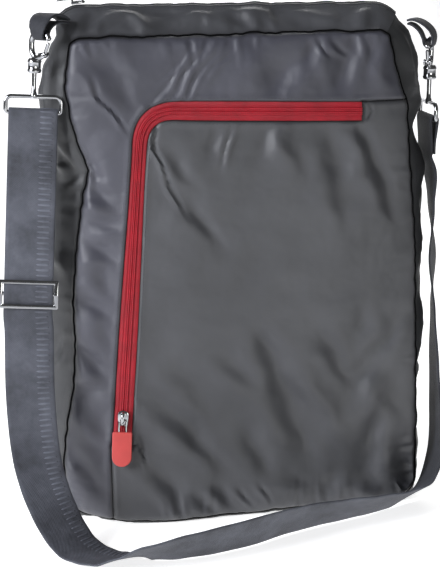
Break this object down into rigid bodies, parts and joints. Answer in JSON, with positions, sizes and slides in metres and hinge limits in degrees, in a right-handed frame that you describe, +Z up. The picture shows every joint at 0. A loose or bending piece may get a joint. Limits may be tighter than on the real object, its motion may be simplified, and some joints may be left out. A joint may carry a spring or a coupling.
{
  "type": "laptop bag",
  "caption": "Upright padded laptop bag with a zipped front pocket, a zipped top, swivel hooks and a wide webbing shoulder strap laid round its front.",
  "frame": {"origin": "middle of the underside, on the floor that the bag stands on", "axes": "+Z up, -Y out of the front panel with the pocket zip, +X to the right in a front view"},
  "size_m": [0.3558, 0.2117, 0.4138],
  "materials": {
    "nylon": "charcoal nylon with a soft shine",
    "nylon_side": "charcoal nylon, darker in its folds",
    "webbing": "grey woven webbing with raised bars on its outer face",
    "zip_red": "red zip tape with a covered coil",
    "zip_dark": "black zip tape with a covered coil",
    "grip_red": "matt coral red rubber",
    "metal": "polished nickel plate"
  },
  "bodies": {
    "bag": {"back_panel": "nylon", "front_yoke": "nylon", "pocket_panel": "nylon", "pocket_zip_tape": "zip_red", "side_gusset": "nylon_side", "top_strip_front": "nylon", "top_strip_back": "nylon", "main_zip_tape": "zip_dark", "pocket_slider": "metal", "main_slider": "metal", "tab_left": "webbing", "tab_right": "webbing", "hook_body_left": "metal", "hook_ring_left": "metal", "hook_body_right": "metal", "hook_ring_right": "metal", "strap": "webbing", "tri_glide": "metal"},
    "gate_left": {"hook_gate_left": "metal"},
    "gate_right": {"hook_gate_right": "metal"},
    "pocket_pull": {"pocket_pull": "metal", "pocket_pull_grip": "grip_red"},
    "main_pull": {"main_pull": "metal"}
  },
  "joints": [
    {"name": "gate_left_hinge", "type": "hinge", "parent": "bag", "child": "gate_left", "pos_m": [-0.14386, -0.03625, 0.37123], "axis": [-0.7057, -0.7071, 0.0444], "range_deg": [0, 26], "stiffness_Nm_per_rad": 0.03, "springref_deg": -11.46},
    {"name": "gate_right_hinge", "type": "hinge", "parent": "bag", "child": "gate_right", "pos_m": [0.15566, -0.01676, 0.35597], "axis": [-0.9266, 0.3746, 0.0324], "range_deg": [0, 26], "stiffness_Nm_per_rad": 0.03, "springref_deg": -11.46},
    {"name": "pocket_pull_hinge", "type": "hinge", "parent": "bag", "child": "pocket_pull", "pos_m": [-0.09387, -0.05318, 0.08528], "axis": [-0.9873, 0.154, 0.0382], "range_deg": [0, 160]},
    {"name": "main_pull_hinge", "type": "hinge", "parent": "bag", "child": "main_pull", "pos_m": [-0.11773, 0.00001, 0.411], "axis": [0.0003, 1, -0.0021], "range_deg": [0, 150]}
  ]
}
